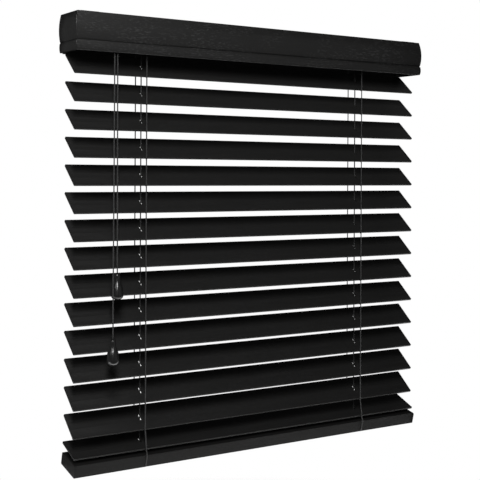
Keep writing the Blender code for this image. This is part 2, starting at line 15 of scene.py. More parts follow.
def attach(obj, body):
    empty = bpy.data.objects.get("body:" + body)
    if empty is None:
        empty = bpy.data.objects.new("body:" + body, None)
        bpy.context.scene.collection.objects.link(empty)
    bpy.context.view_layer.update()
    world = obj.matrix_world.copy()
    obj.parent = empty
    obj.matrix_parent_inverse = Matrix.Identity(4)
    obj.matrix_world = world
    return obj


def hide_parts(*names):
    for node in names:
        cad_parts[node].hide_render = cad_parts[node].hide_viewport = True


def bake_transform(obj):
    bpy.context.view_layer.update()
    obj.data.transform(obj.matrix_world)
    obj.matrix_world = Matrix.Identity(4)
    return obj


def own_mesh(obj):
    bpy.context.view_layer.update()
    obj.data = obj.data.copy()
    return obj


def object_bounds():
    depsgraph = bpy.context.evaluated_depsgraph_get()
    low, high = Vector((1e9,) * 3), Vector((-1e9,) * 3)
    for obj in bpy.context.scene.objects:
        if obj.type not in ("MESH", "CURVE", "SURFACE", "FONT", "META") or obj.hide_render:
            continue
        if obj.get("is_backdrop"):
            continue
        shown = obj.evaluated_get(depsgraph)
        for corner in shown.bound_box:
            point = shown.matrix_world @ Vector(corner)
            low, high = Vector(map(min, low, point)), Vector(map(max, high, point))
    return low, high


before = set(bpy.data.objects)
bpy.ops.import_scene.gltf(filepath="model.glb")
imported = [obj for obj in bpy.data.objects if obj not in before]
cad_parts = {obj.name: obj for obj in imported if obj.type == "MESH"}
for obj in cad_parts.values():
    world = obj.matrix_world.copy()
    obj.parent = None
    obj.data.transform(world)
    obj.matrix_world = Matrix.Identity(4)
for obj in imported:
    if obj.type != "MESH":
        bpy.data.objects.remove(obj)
cad_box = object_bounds()

# %% [markdown]
# ## Camera
# The blind is seen from its room side, from the left, at the height of its upper half. The camera looks
# level, so that upright edges stay upright, and a small vertical shift puts the blind in the middle of the
# frame.

# %% Camera
CAMERA_PLACE = (-1.0584, -1.5712, -0.262)
CAMERA_HEADING = math.radians(33.17)
CAMERA_ROLL = math.radians(0.26)
CAMERA_LENS = 79.25
CAMERA_SHIFT = -0.1336
SENSOR_WIDTH = 36.0

camera = bpy.data.objects.new("camera", bpy.data.cameras.new("camera"))
bpy.context.scene.collection.objects.link(camera)
camera.data.sensor_width = SENSOR_WIDTH
camera.data.lens = CAMERA_LENS
camera.data.shift_y = CAMERA_SHIFT
camera.matrix_world = (
    Matrix.Translation(CAMERA_PLACE)
    @ Matrix.Rotation(-CAMERA_HEADING, 4, "Z")
    @ Matrix.Rotation(math.pi / 2, 4, "X")
    @ Matrix.Rotation(CAMERA_ROLL, 4, "Z")
)
bpy.context.scene.camera = camera
print("camera at", [round(value, 3) for value in camera.matrix_world.translation])

# %% [markdown]
# ## A way to write finishes
# A shader is a sum in disguise: masks are multiplied, heights are added. Wrapping a socket in a small class
# lets that sum be written as one, and each step becomes a Math node. Every other node comes from one
# method.

# %% Wires and finishes
class Wire:
    """An output socket that can be used in sums."""

    def __init__(self, finish, socket):
        self.finish, self.socket = finish, socket

    def step(self, operation, *values):
        return self.finish.node("ShaderNodeMath", {"operation": operation}, dict(enumerate(values)))

    def __add__(self, other):
        return self.step("ADD", self, other)

    def __sub__(self, other):
        return self.step("SUBTRACT", self, other)

    def __rsub__(self, other):
        return self.step("SUBTRACT", other, self)

    def __mul__(self, other):
        return self.step("MULTIPLY", self, other)

    __radd__ = __add__
    __rmul__ = __mul__

    def sine(self):
        return self.step("SINE", self)

    def between(self, low, high):
        """0 below low, 1 above high, and a smooth step in between."""
        values = {"Value": self, "From Min": low, "From Max": high}
        return self.finish.node("ShaderNodeMapRange", {"interpolation_type": "SMOOTHSTEP"}, values)


class Finish:
    """A procedural material on one Principled shader."""

    def __init__(self, name, **constants):
        self.material = bpy.data.materials.new(name)
        self.material.use_nodes = True
        self.tree = self.material.node_tree
        self.shader = self.tree.nodes["Principled BSDF"]
        for socket, value in constants.items():
            self.feed(socket.replace("_", " "), value)

    def link(self, value, socket):
        if isinstance(value, Wire):
            self.tree.links.new(value.socket, socket)
        else:
            socket.default_value = value

    def node(self, kind, settings=None, values=None, output=0):
        made = self.tree.nodes.new(kind)
        for name, value in (settings or {}).items():
            setattr(made, name, value)
        for name, value in (values or {}).items():
            self.link(value, made.inputs[name])
        return Wire(self, made.outputs[output])

    def feed(self, socket, value):
        self.link(value, self.shader.inputs[socket])

    def place(self, scale=(1, 1, 1), turn=(0, 0, 0)):
        """Object coordinates, turned and then stretched."""
        point = self.node("ShaderNodeTexCoord", output="Object")
        turned = self.node("ShaderNodeMapping", {}, {"Vector": point, "Rotation": turn})
        return self.node("ShaderNodeMapping", {}, {"Vector": turned, "Scale": scale})

    def noise(self, where, detail=2.0, roughness=0.5, distortion=0.0):
        values = {
            "Vector": where, "Scale": 1.0, "Detail": detail,
            "Roughness": roughness, "Distortion": distortion,
        }
        return self.node("ShaderNodeTexNoise", {}, values)

    def tint(self, share, first, second):
        """The first colour, or colour wire, where share is 0 and the second where it is 1."""
        start = first if isinstance(first, Wire) else (*first, 1)
        values = {0: share, 6: start, 7: (*second, 1)}
        return self.node("ShaderNodeMix", {"data_type": "RGBA"}, values, output=2)

    def relief(self, height, depth, strength=1.0):
        """Bumps: a height of 0 to 1 stands for this depth in metres."""
        values = {"Height": height, "Distance": depth, "Strength": strength}
        self.feed("Normal", self.node("ShaderNodeBump", {}, values))


def same(value):
    """Three equal numbers: a grey, or a scale that is even in all directions."""
    return (value, value, value)


print("same(0.5) is", same(0.5))


# %% [markdown]
# ## Finish: braided cord
# Blind cord is a polyester braid, dull and a little fuzzy. Two sets of diagonal ribs that cross make the
# braid. All the cords run nearly upright, so ribs that lean both ways in X and Z wrap round them without a
# map of their own.

# %% Cord finish
RIB_SPACING = 0.0011
RIB_LEAN = math.radians(38)


def cord_finish(name, dark, light):
    finish = Finish(name, Roughness=0.82, Specular_IOR_Level=0.3, Sheen_Weight=0.25)
    ribs = []
    for lean in (RIB_LEAN, -RIB_LEAN):
        along = finish.node(
            "ShaderNodeSeparateXYZ", {}, {0: finish.place((1, 1, 1), (0, lean, 0))}, output=2
        )
        ribs.append((along * (math.tau / RIB_SPACING)).sine())
    braid = (ribs[0] * ribs[1] + 1) * 0.5
    fuzz = finish.noise(finish.place((2600, 2600, 1400)), 3.0)
    tone = braid * 0.6 + fuzz * 0.4
    finish.feed("Base Color", finish.tint(tone, same(dark), same(light)))
    finish.feed("Roughness", 0.92 - tone * 0.2)
    finish.relief(braid * 0.8 + fuzz * 0.35, 0.00012)
    return finish


cord_black = cord_finish("black_braided_cord", 0.022, 0.055)
print("finish made:", cord_black.material.name)

# %% [markdown]
# ## Tilt cords
# Two thin cords come straight out of the tilter's nose and hang down, each to its own tassel. A cord is a
# soft line of fixed length, so it is a curve first: a smooth route through a few places, given a round
# section and then made a mesh.

# %% Helpers for cords
def show(name, mesh):
    made = bpy.data.objects.new(name, mesh)
    bpy.context.scene.collection.objects.link(made)
    return made


def paint(piece, finish, slot):
    piece.data.materials.clear()
    piece.data.materials.append(finish.material)
    return piece


def smooth_route(points, count):
    """Points on a smooth curve that passes through all the given ones."""
    knots = [Vector(point) for point in points]
    knots = [2 * knots[0] - knots[1]] + knots + [2 * knots[-1] - knots[-2]]
    read = []
    for step in range(count):
        place = step / (count - 1) * (len(knots) - 3)
        index = min(int(place), len(knots) - 4)
        t = place - index
        a, b, c, d = knots[index : index + 4]
        read.append(
            b + 0.5 * t * (c - a + t * (2 * a - 5 * b + 4 * c - d + t * (3 * (b - c) + d - a)))
        )
    return read


def cord_tube(name, routes, diameter, sides=3):
    """One mesh of round tubes along the routes."""
    curve = bpy.data.curves.new(name, "CURVE")
    curve.dimensions = "3D"
    curve.bevel_depth = diameter / 2
    curve.bevel_resolution = sides
    curve.use_fill_caps = True
    for route in routes:
        spline = curve.splines.new("POLY")
        spline.points.add(len(route) - 1)
        for target, point in zip(spline.points, route):
            target.co = (*point, 1)
    drawn = show(name + "_line", curve)
    bpy.context.view_layer.update()
    mesh = bpy.data.meshes.new_from_object(drawn)
    bpy.data.objects.remove(drawn)
    mesh.name = name
    bm = bmesh.new()
    bm.from_mesh(mesh)
    bmesh.ops.remove_doubles(bm, verts=bm.verts, dist=1e-6)
    bmesh.ops.recalc_face_normals(bm, faces=bm.faces)
    bm.to_mesh(mesh)
    bm.free()
    mesh.shade_smooth()
    mesh.set_sharp_from_angle(angle=math.radians(50))
    return show(name, mesh)


def route_length(route):
    return sum((b - a).length for a, b in zip(route, route[1:]))


# %% Tilt cords
TILT_CORD = 0.0020
CORD_EXIT_Y = -0.0303
CORD_EXIT_Z = -0.0548
GAP = 0.0003
# For each: where the cord leaves the nose, the tassel's top, the cord's count of points, and two places on
# its way, each as a share of its fall and a share of its drift sideways.
TASSELS = {
    "long": (-0.2940, Vector((-0.3027, -0.0458, -0.5246)), 44, [(0.46, 0.42), (0.80, 1.0)]),
    "short": (-0.2887, Vector((-0.2927, -0.0402, -0.4204)), 36, [(0.35, 0.30), (0.70, 0.68)]),
}
tilt_cords = {}
for name, (exit_x, tassel, count, bends) in TASSELS.items():
    head = Vector((exit_x, CORD_EXIT_Y, CORD_EXIT_Z))
    foot = tassel + Vector((0, 0, GAP))
    span = foot - head
    places = [Vector((span.x * drift, span.y * drift, span.z * fall)) for fall, drift in bends]
    route = smooth_route([head, *(head + place for place in places), foot], count)
    piece = cord_tube(f"tilt_cord_{name}_braid", [route], TILT_CORD)
    paint(piece, cord_black, "cord")
    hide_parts(f"tilt_cord_{name}")
    tilt_cords[name] = (piece, route)
    print(f"{name} tilt cord: {route_length(route):.4f} m")

# %% [markdown]
# ## Tassels
# A tassel is turned: a narrow neck swells into a round bulb, and the cord's knot sits in a recess below.
# Spinning one smooth profile round its axis gives just that. The plastic is glossy black, so the surface
# has to be really smooth.

# %% Helpers for turned pieces
def turned(name, profile, steps):
    """Spins a profile of (radius, z) points once round Z."""
    bm = bmesh.new()
    points = [bm.verts.new((radius, 0, z)) for radius, z in profile]
    edges = [bm.edges.new(pair) for pair in zip(points, points[1:])]
    bmesh.ops.spin(
        bm, geom=points + edges, cent=(0, 0, 0), axis=(0, 0, 1), dvec=(0, 0, 0),
        angle=math.tau, steps=steps, use_merge=True,
    )
    bmesh.ops.remove_doubles(bm, verts=bm.verts, dist=1e-6)
    return finished(name, bm)


def finished(name, bm, sharp=35):
    """The mesh of a closed shape, with its faces outwards and its soft edges smooth."""
    bmesh.ops.recalc_face_normals(bm, faces=bm.faces)
    mesh = bpy.data.meshes.new(name)
    bm.to_mesh(mesh)
    bm.free()
    mesh.shade_smooth()
    mesh.set_sharp_from_angle(angle=math.radians(sharp))
    return mesh


# %% [markdown]
# ## Finish: gloss black plastic
# The tassels are moulded plastic with a hard shine. A clear coat gives the sharp streak, a faint swirl from
# the mould breaks it up, and a few specks of dust dull it, as they do on anything that hangs in a window.

# %% Gloss finish
gloss_black = Finish("gloss_black_plastic", Coat_Weight=0.5, Coat_Roughness=0.08)
swirl = gloss_black.noise(gloss_black.place((160, 160, 60)), 3.0, 0.6, 0.4)
dust = gloss_black.noise(gloss_black.place((2200, 2200, 2200)), 2.0).between(0.66, 0.74)
gloss_black.feed("Base Color", gloss_black.tint(swirl * 0.7 + dust * 0.3, same(0.012), same(0.024)))
gloss_black.feed("Roughness", 0.24 + swirl * 0.10 + dust * 0.18)
gloss_black.relief(swirl + dust * 0.04, 0.00006, 0.6)
print("finish made:", gloss_black.material.name)

# %% Tassels
TASSEL_OUTSIDE = [
    (0.0013, -0.0004), (0.0020, 0.0), (0.0032, -0.0003), (0.0044, -0.0012), (0.0050, -0.0035),
    (0.0052, -0.0080), (0.0056, -0.0120), (0.0066, -0.0155), (0.0081, -0.0190), (0.0090, -0.0220),
    (0.0097, -0.0265), (0.0101, -0.0325), (0.0100, -0.0352), (0.0093, -0.0376), (0.0077, -0.0397),
    (0.0053, -0.0411), (0.0042, -0.0415),
]
TASSEL_RECESS = [(0.0036, -0.0413), (0.0032, -0.0402), (0.0030, -0.0370), (0.0, -0.0365)]
TASSEL_THROAT = [(0.0, -0.0030), (0.0011, -0.0030), (0.0011, -0.0008)]
TASSEL_RINGS = 80
TASSEL_STEPS = 56
KNOT_RADIUS = 0.0017
KNOT_Z = -0.0378

outside = [(p.x, p.y) for p in smooth_route([(r, z, 0) for r, z in TASSEL_OUTSIDE], TASSEL_RINGS)]
for name, (piece, route) in tilt_cords.items():
    tassel = TASSELS[name][1]
    mesh = turned(f"tassel_{name}_bell", TASSEL_THROAT + outside + TASSEL_RECESS, TASSEL_STEPS)
    mesh.transform(Matrix.Translation(tassel))
    bell = paint(show(f"tassel_{name}_bell", mesh), gloss_black, "gloss_plastic")
    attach(bell, f"tassel_{name}")
    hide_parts(f"tassel_{name}")
    knot = bmesh.new()
    bmesh.ops.create_uvsphere(knot, u_segments=16, v_segments=10, radius=KNOT_RADIUS)
    bmesh.ops.scale(knot, vec=(1, 0.85, 0.8), verts=knot.verts)
    bmesh.ops.translate(knot, vec=tassel + Vector((0, 0, KNOT_Z)), verts=knot.verts)
    tied = paint(show(f"tassel_{name}_knot", finished("knot", knot)), cord_black, "cord")
    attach(tied, f"tassel_{name}")
    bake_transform(piece)
    route_length(route)
print("tassels made")

# %% [markdown]
# ## Finish: black paint on wood
# The slats, the valance and the bottom rail are basswood under two thin coats of satin black. The grain
# still shows through the paint as long shallow lines, so the noise is stretched along X, the way the boards
# were sawn. Finer pores and a trace of spray texture go on top. The moulding has a thicker coat and more
# rubbed flecks, the rail the dullest one.

# %% Wood finish
def wood_finish(name, fleck_share, **constants):
    """Black paint on sawn wood; the flecks are where raised grain has rubbed a little lighter."""
    finish = Finish(name, **constants)
    boards = finish.noise(finish.place((5, 60, 60)), 2.0, 0.5, 0.6)
    grain = finish.noise(finish.place((16, 520, 520)), 4.0, 0.62, 0.35)
    pores = finish.noise(finish.place((110, 2400, 2400)), 2.0, 0.5).between(0.56, 0.70)
    spray = finish.noise(finish.place((1500, 1500, 1500)), 2.0, 0.6)
    flecks = finish.noise(finish.place((150, 560, 560)), 3.0, 0.55, 0.2).between(0.53, 0.64)
    zones = finish.noise(finish.place((9, 22, 22)), 2.0, 0.5).between(0.36, 0.58)
    raised = flecks * zones
    tone = boards * 0.25 + grain * 0.5 + spray * 0.2 - pores * 0.25
    paint = finish.tint(tone, (0.0060, 0.0059, 0.0057), (0.0200, 0.0197, 0.0193))
    finish.feed("Base Color", finish.tint(raised * fleck_share, paint, same(0.060)))
    finish.feed("Roughness", 0.44 + grain * 0.18 + pores * 0.12 - raised * fleck_share * 0.2)
    finish.relief(grain * 0.55 + raised * 0.4 + spray * 0.1 - pores * 0.4, 0.00020)
    return finish


wood_black = wood_finish("satin_black_painted_wood", 0.08, Specular_IOR_Level=0.42)
rail_black = wood_finish("satin_black_painted_rail", 0.05, Specular_IOR_Level=0.10)
moulding_black = wood_finish(
    "satin_black_painted_moulding", 0.6, Specular_IOR_Level=0.40, Coat_Weight=0.7, Coat_Roughness=0.2
)
print("finishes made:", [finish.material.name for finish in (wood_black, rail_black, moulding_black)])

# %% [markdown]
# ## Slats
# A slat is a plain board, 718 x 50 x 3 mm, with its long edges rounded over and two round-ended slots for
# the lift cords. It starts as a cube. Planes cut it beside each slot, the faces above and below the slot
# are taken out, and bridging their rims makes the slot's wall. Bevels then round the slot's ends and the
# board's edges.

# %% Slat numbers
SLAT_COUNT = 15
SLAT_LENGTH = 0.718
SLAT_WIDTH = 0.050
SLAT_THICKNESS = 0.003
SLAT_TILT = math.radians(40.8)
LAST_SLAT_TILT = 0.55 * SLAT_TILT
SLAT_PITCH = 0.045
FIRST_SLAT_Z = -0.082
LAST_SLAT_Z = -0.7055
LADDER_X = 0.230
SLOT_LENGTH = 0.013
SLOT_WIDTH = 0.0036
SLOT_ROUNDING = 0.0017
CORNER_ROUNDING = 0.0015
EDGE_ROUNDING = 0.0013
END_ROUNDING = 0.0005


def slat_z(number):
    return LAST_SLAT_Z if number == SLAT_COUNT else FIRST_SLAT_Z - (number - 1) * SLAT_PITCH


def slat_turn(number):
    """Where a flat slat at the origin goes."""
    tilt = LAST_SLAT_TILT if number == SLAT_COUNT else SLAT_TILT
    return Matrix.Translation((0, 0, slat_z(number))) @ Matrix.Rotation(tilt, 4, "X")


print("slats hang from", slat_z(1), "down to", slat_z(SLAT_COUNT), "m")

# %% Helpers for boards
def board(length, width, height):
    bm = bmesh.new()
    bmesh.ops.create_cube(bm, size=1)
    bmesh.ops.scale(bm, vec=(length, width, height), verts=bm.verts)
    return bm


def cut(bm, place, normal, geom=None, clear=False):
    """Cuts along a plane, and returns the new edges."""
    geom = geom or bm.verts[:] + bm.edges[:] + bm.faces[:]
    made = bmesh.ops.bisect_plane(
        bm, geom=geom, plane_co=place, plane_no=normal, clear_outer=clear, dist=1e-7
    )["geom_cut"]
    return [part for part in made if isinstance(part, bmesh.types.BMEdge)]


def soften(bm, edges, offset, segments):
    bmesh.ops.bevel(
        bm, geom=edges, offset=offset, offset_type="OFFSET", segments=segments, profile=0.5,
        affect="EDGES", material=-1, clamp_overlap=True,
    )


def edges_where(bm, test):
    """Edges whose middle and direction pass a test."""
    found = []
    for edge in bm.edges:
        start, end = (vert.co for vert in edge.verts)
        if test((start + end) / 2, (end - start).normalized()):
            found.append(edge)
    return found


# %% Slat mesh
def slat_mesh():
    """A flat slat at the origin: slots first, then all its edges rounded."""
    bm = board(SLAT_LENGTH, SLAT_WIDTH, SLAT_THICKNESS)
    half_length, half_width = SLAT_LENGTH / 2, SLAT_WIDTH / 2
    for x in (-LADDER_X, LADDER_X):
        for side in (-1, 1):
            cut(bm, (x + side * SLOT_WIDTH / 2, 0, 0), (1, 0, 0))
    for side in (-1, 1):
        cut(bm, (0, side * SLOT_LENGTH / 2, 0), (0, 1, 0))
    for x in (-LADDER_X, LADDER_X):
        mouths = [
            face for face in bm.faces
            if abs(face.calc_center_median().x - x) < SLOT_WIDTH / 2
            and abs(face.calc_center_median().y) < SLOT_LENGTH / 2
        ]
        rims = list(dict.fromkeys(edge for face in mouths for edge in face.edges))
        bmesh.ops.delete(bm, geom=mouths, context="FACES_ONLY")
        bmesh.ops.bridge_loops(bm, edges=rims)
    roundings = [
        (lambda at, way: abs(way.z) > 0.9 and abs(at.x) < 0.3, SLOT_ROUNDING, 5),
        (lambda at, way: abs(way.z) > 0.9 and abs(at.x) > 0.3, CORNER_ROUNDING, 3),
        (lambda at, way: abs(way.x) > 0.9 and abs(at.y) > half_width - 1e-6, EDGE_ROUNDING, 5),
        (lambda at, way: abs(way.y) > 0.9 and abs(at.x) > half_length - 1e-6, END_ROUNDING, 2),
    ]
    for test, offset, segments in roundings:
        soften(bm, edges_where(bm, test), offset, segments)
    return finished("slat", bm)


one_slat = slat_mesh()
print("one slat:", len(one_slat.polygons), "faces")

# %% [markdown]
# ## Rungs
# Each slat rests on a thin rung of the ladder, a cord that goes under it from the room side's cord to the
# window side's. A rung turns with its slat, so it rides on the same body.

# %% Slats and rungs
LADDER_RADIUS = 0.0268
RUNG_CORD = 0.0009
RUNG_HALF = [(LADDER_RADIUS, 0.0), (0.0259, -0.0013), (0.0245, -0.0020), (0.0180, -0.0021)]


def rung_route(x):
    """A rung from ladder cord to ladder cord, under a flat slat."""
    return [Vector((x, -y, z)) for y, z in RUNG_HALF] + [Vector((x, y, z)) for y, z in reversed(RUNG_HALF)]


for number in range(1, SLAT_COUNT + 1):
    name = f"slat_{number:02d}"
    mesh = one_slat.copy()
    mesh.transform(slat_turn(number))
    slat = paint(show(f"{name}_board", mesh), wood_black, "wood")
    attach(slat, name)
    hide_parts(name)
    routes = [[slat_turn(number) @ point for point in rung_route(x)] for x in (-LADDER_X, LADDER_X)]
    rungs = paint(cord_tube(f"{name}_rungs", routes, RUNG_CORD, 1), cord_black, "cord")
    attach(rungs, name)
print("slats:", SLAT_COUNT, "rungs:", 2 * SLAT_COUNT)

# %% [markdown]
# ## Ladder cords
# Four upright flat cords hang from the ends of the drums' arms, two on the room side and two on the window
# side. From the drum to the first slat a cord only moves with its arm. Between slats 1 and 14 the real cord
# gathers as the blind is raised; here that length passes the rungs' ends and rides on the same body. Below,
# it leans out to the last slat and into the bottom rail's groove.

# %% Ladder cords
LADDER_CORD = 0.0012
LADDER_CORD_WIDTH = 0.0022
ROD_Z = -0.027
RAIL_WIDTH = 0.054
RAIL_HEIGHT = 0.021
RAIL_Z = -0.7285
RAIL_TILT = 0.34 * SLAT_TILT
GROOVE_DEPTH = 0.002
TIE_DROP = {-1: 0.0012, 1: 0.0024}

rail_turn = Matrix.Translation((0, 0, RAIL_Z)) @ Matrix.Rotation(RAIL_TILT, 4, "X")


def rung_end(number, x, side):
    return slat_turn(number) @ Vector((x, side * LADDER_RADIUS, 0))


for hand, x in (("left", -LADDER_X), ("right", LADDER_X)):
    flat_cord = (
        Matrix.Translation((x, 0, 0)) @ Matrix.Diagonal((LADDER_CORD_WIDTH / LADDER_CORD, 1, 1, 1))
        @ Matrix.Translation((-x, 0, 0))
    )
    for face, side in (("front", -1), ("back", 1)):
        name = f"ladder_cord_{face}_{hand}"
        first, low, last = (rung_end(number, x, side) for number in (1, SLAT_COUNT - 1, SLAT_COUNT))
        tied_z = ROD_Z + side * LADDER_RADIUS * math.sin(SLAT_TILT) - TIE_DROP[side]
        groove_y = side * (RAIL_WIDTH / 2 - GROOVE_DEPTH / 2 - GAP / 2)
        mouth = rail_turn @ Vector((x, groove_y, RAIL_HEIGHT / 2))
        foot = rail_turn @ Vector((x, groove_y, -RAIL_HEIGHT / 2 + 0.001))
        top = Vector((x, first.y, tied_z))
        pieces = {
            "top": ([top, first], name),
            "run": ([rung_end(number, x, side) for number in range(1, SLAT_COUNT)], name),
            "tail": ([low, low.lerp(last, 0.5), last], f"slat_{SLAT_COUNT}"),
            "foot": ([last, last.lerp(mouth, 0.5), mouth, foot], "bottom_rail"),
        }
        made = {}
        for part, (route, body) in pieces.items():
            string = cord_tube(f"{name}_{part}", [route], LADDER_CORD)
            string.data.transform(flat_cord)
            made[part] = paint(string, cord_black, "cord")
            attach(made[part], body)
        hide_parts(name)
        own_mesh(made["run"])
        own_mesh(made["tail"])

# %% [markdown]
# ## Lift cords
# A lift cord runs down the middle of each ladder, through the slats' slots, to a plug under the bottom
# rail. The spool winds it in as the rail is raised. One fixed cord from headrail to rail stands for its
# stretches.

# %% Lift cords
LIFT_CORD = 0.0020
LIFT_TOP = -0.0530
LIFT_FOOT = RAIL_Z + RAIL_HEIGHT / 2 / math.cos(RAIL_TILT) + 0.0012
LIFT_STEPS = 30
lift_places = [LIFT_TOP + (LIFT_FOOT - LIFT_TOP) * step / LIFT_STEPS for step in range(LIFT_STEPS + 1)]
for hand, x in (("left", -LADDER_X), ("right", LADDER_X)):
    stretches = [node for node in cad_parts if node.startswith(f"lift_cord_{hand}")]
    route = [Vector((x, 0, z)) for z in lift_places]
    piece = paint(cord_tube(f"lift_cord_{hand}_run", [route], LIFT_CORD), cord_black, "cord")
    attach(piece, "root")
    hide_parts(*stretches)
    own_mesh(piece)
    print(f"{hand} lift cord stands for {len(stretches)} stretches")

# %% [markdown]
# ## Bottom rail
# The bottom rail is a heavier moulding with eased edges. A narrow groove across its front and its back
# takes the end of each ladder cord. A board is cut beside the groove, its outer skin between the cuts is
# taken off, and the groove is closed again.

# %% Bottom rail
GROOVE_WIDTH = 0.0030
RAIL_ROUNDING = 0.0024
RAIL_END_EASE = 0.0006


def cut_groove(bm, x, side):
    """A groove across the rail's front (-1) or back (1)."""
    for edge in (-1, 1):
        cut(bm, (x + edge * GROOVE_WIDTH / 2, 0, 0), (1, 0, 0))
    faces = [
        face for face in bm.faces
        if abs(face.calc_center_median().x - x) < GROOVE_WIDTH / 2 and abs(face.normal.x) < 0.5
    ]
    edges = dict.fromkeys(edge for face in faces for edge in face.edges)
    verts = dict.fromkeys(vert for face in faces for vert in face.verts)
    floor_y = side * (RAIL_WIDTH / 2 - GROOVE_DEPTH)
    lips = cut(bm, (x, floor_y, 0), (0, side, 0), [*verts, *edges, *faces], clear=True)
    lips = [edge for edge in lips if abs(edge.verts[0].co.x - edge.verts[1].co.x) > GROOVE_WIDTH / 2]
    bmesh.ops.bridge_loops(bm, edges=lips)
    bmesh.ops.holes_fill(bm, edges=[edge for edge in bm.edges if edge.is_boundary], sides=0)


rail = board(SLAT_LENGTH, RAIL_WIDTH, RAIL_HEIGHT)
soften(rail, edges_where(rail, lambda at, way: abs(way.x) > 0.9), RAIL_ROUNDING, 6)
rail_ends = edges_where(rail, lambda at, way: abs(at.x) > SLAT_LENGTH / 2 - 1e-6)
soften(rail, rail_ends, RAIL_END_EASE, 2)
for x in (-LADDER_X, LADDER_X):
    for side in (-1, 1):
        cut_groove(rail, x, side)
print("open edges in the rail:", sum(edge.is_boundary for edge in rail.edges))
bmesh.ops.transform(rail, matrix=rail_turn, verts=rail.verts)
rail_board = paint(show("bottom_rail_board", finished("bottom_rail_board", rail)), rail_black, "wood")
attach(rail_board, "bottom_rail")
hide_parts("bottom_rail")

# %% [markdown]
# ## Valance
# The valance hides the headrail. Its front board is bowed, with a groove and a lower bead, and two short
# returns meet it in 45 degree mitres. A profile of a few points is extruded along the board, and a plane
# cuts each mitre. The mitre's outer edges are eased by less than a millimetre, which is what catches the
# light at a painted corner.

# %% Valance profile
VALANCE_TOP = -0.001
VALANCE_BOTTOM = -0.0637
VALANCE_INNER_X = 0.3593
VALANCE_INNER_Y = -0.0326
VALANCE_BACK = 0.030
MITRE_EASE = 0.0008
BACK_EASE = 0.0004


def bowed(top, bottom, rise, steps):
    """Points (thickness, z) from top to bottom, bowed outwards by rise."""
    points = []
    for step in range(steps + 1):
        s = step / steps
        depth = top[0] + (bottom[0] - top[0]) * s + rise * 4 * s * (1 - s)
        points.append((depth, top[1] + (bottom[1] - top[1]) * s))
    return points


upper = bowed((0.0026, VALANCE_TOP - 0.0002), (0.0042, -0.0464), 0.0026, 22)
lower = bowed((0.0045, -0.0482), (0.0042, VALANCE_BOTTOM + 0.0005), 0.0009, 12)
groove = [(0.0037, -0.0469), (0.0034, -0.0473), (0.0036, -0.0478)]
VALANCE_PROFILE = (
    [(0.0003, VALANCE_TOP), (0.0022, VALANCE_TOP)] + upper + groove + lower
    + [(0.0037, VALANCE_BOTTOM), (0.0003, VALANCE_BOTTOM)]
    + [(0, VALANCE_BOTTOM + 0.0003), (0, VALANCE_TOP - 0.0003)]
)
print("the moulding stands out", max(depth for depth, z in VALANCE_PROFILE), "m at its fullest")


# %% Valance boards
def moulding(start, end, outwards, ends):
    """The profile run from start to end, its thickness outwards, with each end cut on its plane."""
    bm = bmesh.new()
    ring = [bm.verts.new(start + outwards * depth + Vector((0, 0, z))) for depth, z in VALANCE_PROFILE]
    edges = [bm.edges.new(pair) for pair in zip(ring, ring[1:] + ring[:1])]
    grown = bmesh.ops.extrude_edge_only(bm, edges=edges)["geom"]
    far = [part for part in grown if isinstance(part, bmesh.types.BMVert)]
    bmesh.ops.translate(bm, vec=end - start, verts=far)
    for place, normal, ease in ends:
        rim = cut(bm, place, normal, clear=True)
        bmesh.ops.holes_fill(bm, edges=rim, sides=0)
        soften(bm, rim, ease, 3)
    return bm


half_front = Vector((VALANCE_INNER_X + 0.012, VALANCE_INNER_Y, 0))
mitre = VALANCE_INNER_X - GAP / 2
front = moulding(
    Vector((-half_front.x, VALANCE_INNER_Y, 0)), half_front, Vector((0, -1, 0)),
    [((side * mitre, VALANCE_INNER_Y, 0), (side, 1, 0), MITRE_EASE) for side in (-1, 1)],
)
front_board = paint(
    show("valance_front_board", finished("valance_front_board", front)), moulding_black, "wood"
)
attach(front_board, "root")
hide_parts("valance_front")
for hand, side in (("left", -1), ("right", 1)):
    inner = side * VALANCE_INNER_X
    board_mesh = moulding(
        Vector((inner, VALANCE_BACK + 0.01, 0)), Vector((inner, VALANCE_INNER_Y - 0.012, 0)),
        Vector((side, 0, 0)),
        [
            ((side * (VALANCE_INNER_X + GAP / 2), VALANCE_INNER_Y, 0), (-side, -1, 0), MITRE_EASE),
            ((inner, VALANCE_BACK, 0), (0, 1, 0), BACK_EASE),
        ],
    )
    name = f"valance_return_{hand}"
    turned_board = paint(
        show(f"{name}_board", finished(f"{name}_board", board_mesh)), moulding_black, "wood"
    )
    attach(turned_board, "root")
    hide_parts(name)
print("valance boards made, profile of", len(VALANCE_PROFILE), "points")

# %% [markdown]
# ## Finishes of the parts that stay
# The headrail, the brackets and everything inside keep their CAD shapes. They get the finishes of the real
# parts: powder coat on sheet steel, zinc on the rod, milky nylon on the moving parts, and a fine spark
# texture on moulded plastic.

# %% Powder coat, zinc, nylon and moulded plastic
powder_coat = Finish("black_powder_coat", Specular_IOR_Level=0.45)
peel = powder_coat.noise(powder_coat.place(same(900)), 2.0, 0.45)
patch = powder_coat.noise(powder_coat.place(same(22)), 3.0, 0.55)
powder_coat.feed("Base Color", powder_coat.tint(patch * 0.6 + peel * 0.4, same(0.010), same(0.024)))
powder_coat.feed("Roughness", 0.36 + patch * 0.14 + peel * 0.06)
powder_coat.relief(peel, 0.00012, 0.8)

zinc = Finish("zinc_plated_steel", Metallic=1.0)
drawn = zinc.noise(zinc.place((30, 1400, 1400)), 3.0, 0.6)
bloom = zinc.noise(zinc.place(same(90)), 3.0, 0.6).between(0.45, 0.75)
zinc.feed("Base Color", zinc.tint(bloom * 0.6 + drawn * 0.4, (0.46, 0.47, 0.49), (0.66, 0.67, 0.68)))
zinc.feed("Roughness", 0.26 + bloom * 0.22 + drawn * 0.08)
zinc.relief(drawn, 0.00004, 0.6)

